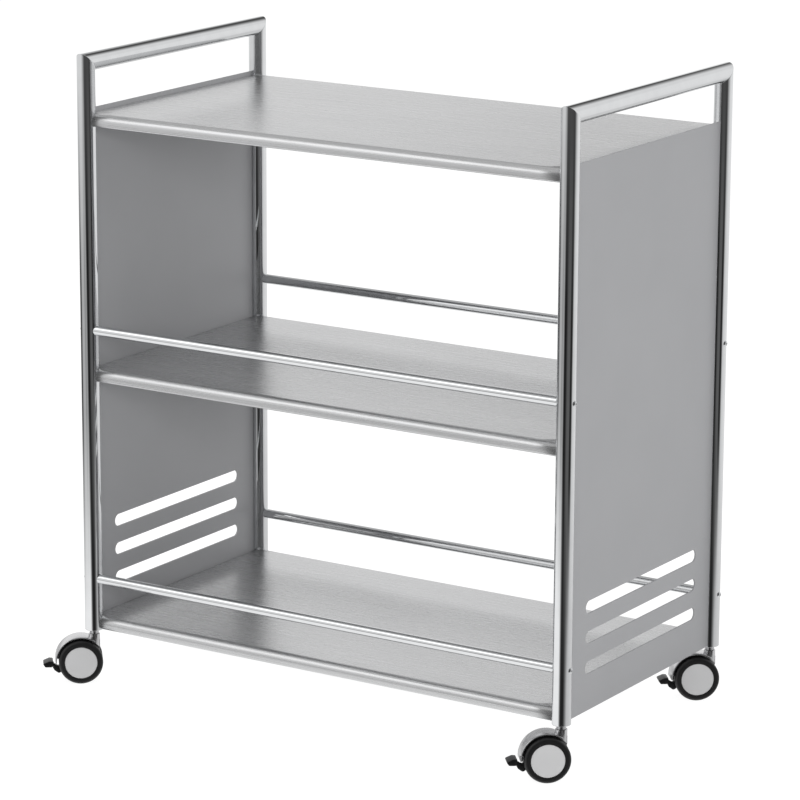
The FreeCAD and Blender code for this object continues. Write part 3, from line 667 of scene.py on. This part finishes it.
def disc(side):
    """The wheel's centre: flat inside, and crowned outside by
    d = edge + crown (1 - (r / rim)^2)."""
    edge, crown, lip, inner_face = 16.4 * MM, 2.0 * MM, 0.5 * MM, 4.3 * MM
    r = np.linspace(0, RIM - lip, 14)
    face = np.stack([r, edge + crown * (1 - (r / RIM) ** 2)], -1)
    q = np.linspace(0, math.pi / 2, 5)[1:]
    turn = np.stack([RIM - lip + lip * np.sin(q), face[-1, 1] - lip * (1 - np.cos(q))], -1)
    back = np.array([[RIM, inner_face], [0, inner_face]])
    profile = np.concatenate([face, turn, back])
    return turned(profile * (1, side), AXLE, Y, X, 96)


# %% Hood, neck and web
HOOD, HOOD_WALL, HOOD_HALF = 31 * MM, 1.7 * MM, 12 * MM
HOOD_FRONT, HOOD_BACK = math.radians(125), math.radians(-3)
NECK, NECK_TOP, WELL = 7 * MM, WHEEL + HOOD + 2 * MM, WHEEL + 1.3 * MM


def hood():
    """A rounded section (y, r) carried round the axle from its front end to its back
    end. At both ends it first grows thinner and a little narrower, and then closes."""
    under_edge, top_edge, end_edge = 0.5 * MM, 1.1 * MM, 0.6 * MM
    end_thickness, end_narrowing = 0.72, 0.06
    low, high = HOOD - HOOD_WALL, HOOD
    section = rounded([(-HOOD_HALF, low, under_edge), (-HOOD_HALF, high, top_edge),
                       (HOOD_HALF, high, top_edge), (HOOD_HALF, low, under_edge)], steps=5)
    heart = np.array([0, HOOD - HOOD_WALL / 2])
    q = np.linspace(HOOD_FRONT, HOOD_BACK, 49)
    soft = end_edge / HOOD
    q = np.concatenate([[q[0], q[0]], [q[0] - soft], q[1:-1], [q[-1] + soft], [q[-1], q[-1]]])
    thick = np.ones(len(q))
    thick[[0, -1]], thick[[1, -2]] = 0, end_thickness
    wide = 1 - (1 - thick) * np.where(thick > 0, end_narrowing, 1)
    grown = heart + (section - heart) * np.stack([wide, thick], -1)[:, None, :]
    y, r = grown[..., 0], grown[..., 1]
    points = np.stack([TRAIL + r * np.cos(q)[:, None], y, WHEEL + r * np.sin(q)[:, None]], -1)
    return patch(points, False, True)


def neck():
    """A round neck. Its lower end follows the tyres' clearance circle."""
    q = np.linspace(0, 2 * math.pi, 64, endpoint=False)
    low = WHEEL + np.sqrt(np.maximum(WELL ** 2 - (NECK * np.cos(q) - TRAIL) ** 2, 0))
    rim = 0.6 * MM
    lift = np.linspace(0, math.pi / 2, 4)
    r = np.concatenate([[0], NECK - rim + rim * np.sin(lift), [NECK, 0]])
    top = np.concatenate([[NECK_TOP], NECK_TOP - rim * (1 - np.cos(lift))])
    z = np.concatenate([np.repeat(top[:, None], len(q), 1), low[None],
                        np.full((1, len(q)), low.mean())])
    points = np.stack([r[:, None] * np.cos(q), r[:, None] * np.sin(q), z], -1)
    return patch(points, False, True)


def slab(corners, half, heart, edge=0.4 * MM):
    """A flat plate of an outline (x, z) with rounded edges: at the angle t of its edge
    the loop lies at the width half - edge (1 - sin t), and is drawn in by
    edge (1 - cos t). A last loop closes each face at the heart."""
    outline = rounded(corners)
    heart = np.array(heart)
    t = np.linspace(0, math.pi / 2, 5)
    reach = np.linalg.norm(outline - heart, axis=1).mean()
    far = np.append(half - edge * (1 - np.sin(t)), half)
    size = np.append(1 - edge * (1 - np.cos(t)) / reach, 0)
    width = np.concatenate([-far[::-1], far])
    size = np.concatenate([size[::-1], size])
    flat_points = heart + (outline - heart) * size[:, None, None]
    y = np.repeat(width[:, None], len(outline), 1)
    return patch(np.stack([flat_points[..., 0], y, flat_points[..., 1]], -1), False, True)


def web():
    """The plate between the wheels that carries axle, neck and lever. Its top follows
    the inside of the hood, and the rest of its outline is set about the axle."""
    q = np.linspace(math.radians(5), math.radians(112), 14)
    inner = HOOD - HOOD_WALL + 0.4 * MM
    arc = [(TRAIL + inner * math.cos(a), WHEEL + inner * math.sin(a)) for a in q]
    rest = about_axle([(-23.7, 26, 1), (-23.7, 15, 3), (-6, -6, 3), (12.5, -12.3, 4),
                       (20.7, -9, 3), (19.5, -1, 2)])
    return slab(arc + list(rest), 3.5 * MM, (TRAIL, WHEEL + 8 * MM))


# %% The brake lever
def lever():
    """A thin tongue at the pin, a slim arm that bends under the hood's end, and a broad
    paddle, which overlap and are as wide as their second figures say, either way."""
    tongue = slab(about_axle([(10.6, -3.4, 2.5), (10.6, -9.0, 2.5), (22.0, -14.0, 1),
                              (26.0, -14.0, 1), (26.0, -3.8, 1), (16.0, -1.8, 2.5)]),
                  1.5 * MM, (TRAIL + 18 * MM, WHEEL - 7 * MM), 0.3 * MM)
    arm = slab(about_axle([(22.8, -14.4, 2.5), (26.8, -16.8, 3), (32.6, -12.4, 3),
                           (35.0, -7.6, 2), (38.0, -5.0, 2), (37.6, -1.0, 1),
                           (34.8, -0.4, 1), (32.4, -4.6, 3), (28.2, -7.2, 3),
                           (22.8, -6.2, 2)]),
               3.0 * MM, (TRAIL + 30 * MM, WHEEL - 9 * MM), 0.9 * MM)
    paddle = slab(about_axle([(33.6, 0.2, 1.2), (35.2, -7.2, 1.2), (43.4, -7.0, 1.6),
                              (46.6, -2.6, 1.4), (38.4, 0.8, 1.6)]),
                  9.0 * MM, (TRAIL + 39.6 * MM, WHEEL - 3.4 * MM), 1.2 * MM)
    return [tongue, arm, paddle]


# %% Put them under the posts
housing, lever_parts = [hood(), neck(), web()], lever()
wheels = {"a": (tyre(1), disc(1)), "b": (tyre(-1), disc(-1))}
for name in CORNERS:
    post = post_at[name]
    piece("castor_skin_" + name, [under(post, part) for part in housing],
          "castor_" + name, "castor_silver", ["housing_" + name])
    piece("lever_skin_" + name, [under(post, part) for part in lever_parts],
          "brake_" + name, "lever_black", ["lever_" + name])
    for letter, (rubber, centre) in wheels.items():
        wheel = "%s_%s" % (name, letter)
        piece("tyre_skin_" + wheel, [under(post, rubber)], "roller_" + wheel,
              "tyre_black", ["tyre_" + wheel])
        piece("disc_skin_" + wheel, [under(post, centre)], "roller_" + wheel,
              "disc_silver", ["wheel_" + wheel])
print("castors made")

# %% [markdown]
# ## The studio
#
# Chrome has no colour of its own: it shows the room. A white room would leave the
# tubes white on white, so a round wall stands about the trolley, dark behind the
# camera and light at the sides, as a photographer sets cards about a chromed thing.
# Only mirror rays see it. The floor is white and keeps a soft shadow.

# %% Floor and room
FLOOR_REACH, FLOOR_GLOW, GLOW_SHARE, AMBIENT = 6.0, 1.25, 0.74, 0.52


def rays(paint):
    """1 for rays from the camera, from mirrors and through glass, and 0 for others."""
    camera, glossy, through = (paint.node("LightPath", output=k) for k in (0, 3, 4))
    either = paint.node("Math", {"operation": "MAXIMUM"}, {0: camera, 1: glossy})
    return paint.node("Math", {"operation": "MAXIMUM"}, {0: either, 1: through})


def floor_finish():
    """A pale floor that glows white to the camera, and still takes a shadow."""
    paint = Paint("white floor")
    white = paint.node("BsdfDiffuse", {}, {"Color": (0.86, 0.86, 0.86, 1)})
    glow = paint.node("Emission", {}, {"Color": (1, 1, 1, 1), "Strength": FLOOR_GLOW})
    mixed = paint.node("MixShader", {}, {0: rays(paint) * GLOW_SHARE, 1: white, 2: glow})
    paint.node("OutputMaterial", {}, {"Surface": mixed})
    return paint.owner


def square(half, height):
    """Corners of a level square, anticlockwise from above."""
    corners = half * np.array([(-1, -1), (1, -1), (1, 1), (-1, 1)])
    return np.insert(corners, 2, height, axis=1)


floor = new_object("floor", square(FLOOR_REACH, 0.0), [(0, 1, 2, 3)], floor_finish())
floor.visible_glossy = False

world = bpy.data.worlds.new("white room")
bpy.context.scene.world = world
room = Paint("white room", world)
strength = AMBIENT + rays(room) * (1 - AMBIENT)
backdrop = room.node("Background", {}, {"Color": (1, 1, 1, 1), "Strength": strength})
room.node("OutputWorld", {}, {"Surface": backdrop})


# %% Lamps
def stand(made, right, up, back, place):
    """Puts a lamp or a camera at a place, looking away from its back."""
    matrix = np.eye(4)
    matrix[:3] = np.stack([right, up, back, place], -1)
    made.matrix_world = Matrix(matrix.tolist())


def lamp(name, place, target, size, watts):
    """A soft square lamp, aimed from its place at its target."""
    light = bpy.data.lights.new(name, "AREA")
    light.shape, light.size, light.energy = "SQUARE", size, watts
    made = bpy.data.objects.new(name, light)
    bpy.context.scene.collection.objects.link(made)
    back = np.array(place, float) - np.array(target, float)
    back /= np.linalg.norm(back)
    side = np.cross(Z, back)
    side /= np.linalg.norm(side)
    stand(made, side, np.cross(back, side), back, place)
    made.visible_glossy = made.visible_camera = False


lamp("overhead", (-0.7, -0.6, 3.0), (0, 0, 0.3), 2.2, 36)
lamp("key", (2.6, -2.9, 1.5), (0, 0, 0.35), 1.2, 45)
lamp("right", (3.2, 0.8, 1.6), (0, 0, 0.4), 1.4, 12)


# %% A wall and a ceiling that only mirrors see
# The way that the camera looks from, in degrees, and the heights between which one
# band of the wall runs into the next.
LOOK = 32.5
FLOOR_FADE, HORIZON_FADE, ROOM_FADE = (-0.8, -0.4), (-0.1, 0.3), (1.5, 2.0)
# Shades round the wall, each at its number of degrees to the right of the camera.
NEAR_FLOOR = [(-180, 0.65), (-105, 1.0), (-40, 1.0), (-20, 0.08), (-10, 0.02), (14, 0.02),
              (28, 0.14), (55, 0.6), (110, 0.72), (180, 0.65)]
FAR_FLOOR = [(-180, 0.8), (-142, 0.5), (-128, 0.02), (-114, 0.02), (-92, 0.5), (-66, 0.48),
             (-58, 0.3), (-40, 0.42), (-26, 0.01), (-8, 0.02), (10, 0.12), (30, 0.12),
             (42, 0.01), (55, 0.04), (70, 0.7), (115, 0.85), (180, 0.8)]
ROOM = [(-180, 0.95), (-150, 0.95), (-122, 0.78), (-60, 0.78), (-25, 0.08), (50, 0.06),
        (70, 0.45), (92, 0.85), (140, 0.9), (180, 0.95)]
UPPER = [(-180, 0.45), (-97, 0.5), (-90, 1.5), (-50, 1.5), (-42, 0.12), (70, 0.12),
         (95, 0.8), (132, 0.8), (150, 0.25), (160, 0.08), (172, 0.08), (180, 0.45)]


def mirror_only(name, points, faces, paint, shade, spots=None):
    """A glowing thing of the studio that only mirror rays see."""
    glow = paint.node("Emission", {}, {"Color": (1, 1, 1, 1), "Strength": shade})
    paint.node("OutputMaterial", {}, {"Surface": glow})
    made = new_object(name, points, faces.tolist(), paint.owner)
    if spots is not None:
        spots = spots.astype(np.float32).ravel()
        made.data.uv_layers.new(name="round").data.foreach_set("uv", spots)
    made.visible_camera = made.visible_diffuse = made.visible_shadow = False
    made.visible_transmission = False


def wall(radius, low, high):
    """A round wall about the trolley: u runs once round it from behind, v up it, and
    P(u, v) = (r sin(look + u), -r cos(look + u), z(v)). Four bands of shades lie one
    above the other and run softly into each other."""
    paint = Paint("studio wall")
    where = paint.node("UVMap", {"uv_map": "round"})
    turn, rise = (paint.node("SeparateXYZ", {}, {0: where}, output=k) for k in (0, 1))
    height = rise * (high - low) + low

    def band(shades):
        stops = [((degrees + 180) / 360, shade) for degrees, shade in shades]
        return paint.node("ValToRGB", {"stops": stops}, {0: turn})

    def over(below, above, fade):
        share = paint.node("MapRange", {}, {"Value": height, "From Min": fade[0],
                                            "From Max": fade[1]})
        return below * (1 - share) + above * share

    floor_light = over(band(NEAR_FLOOR), band(FAR_FLOOR), FLOOR_FADE)
    room_light = over(band(ROOM), band(UPPER), ROOM_FADE)
    shade = over(floor_light, room_light, HORIZON_FADE)
    u = np.linspace(0, 1, 121)
    q = np.radians(LOOK - 180 + 360 * u)
    ring = np.stack([radius * np.sin(q), -radius * np.cos(q)], -1)
    points = np.concatenate([np.insert(ring, 2, z, axis=1) for z in (low, high)])
    faces = grid_faces(2, len(u), False, False)
    spots = np.stack([u[faces % len(u)], faces // len(u)], -1)
    mirror_only("wall", points, faces, paint, shade, spots)


def ceiling(half, height, shade):
    """A dim square over the wall."""
    mirror_only("ceiling", square(half, height), np.array([[3, 2, 1, 0]]),
                Paint("studio ceiling"), shade)


wall(3.2, -2.2, 4.0)
ceiling(3.6, 4.0, 0.5)
print("studio ready")

# %% [markdown]
# ## The camera
#
# The camera stands where the picture's own camera stood: turned 32 degrees from the
# trolley's front, looking down by 14, from about four and a half metres through a
# long lens, which keeps the far posts nearly as tall as the near ones.

# %% Camera
AZIMUTH, ELEVATION, ROLL = (math.radians(a) for a in (32.464, 13.900, 0.275))
SPOT = np.array([2.42398, -3.77197, 1.47165])
LENS, SENSOR = 173.73, 36

ahead = np.array([-math.sin(AZIMUTH) * math.cos(ELEVATION),
                  math.cos(AZIMUTH) * math.cos(ELEVATION), -math.sin(ELEVATION)])
right = np.array([math.cos(AZIMUTH), math.sin(AZIMUTH), 0])
upright = np.cross(right, ahead)
lens = bpy.data.cameras.new("camera")
lens.lens, lens.sensor_width, lens.sensor_fit = LENS, SENSOR, "HORIZONTAL"
camera = bpy.data.objects.new("camera", lens)
stand(camera, right * math.cos(ROLL) + upright * math.sin(ROLL),
      upright * math.cos(ROLL) - right * math.sin(ROLL), -ahead, SPOT)
bpy.context.scene.collection.objects.link(camera)
bpy.context.scene.camera = camera
bpy.context.scene.view_settings.view_transform = "Standard"
print("camera set")
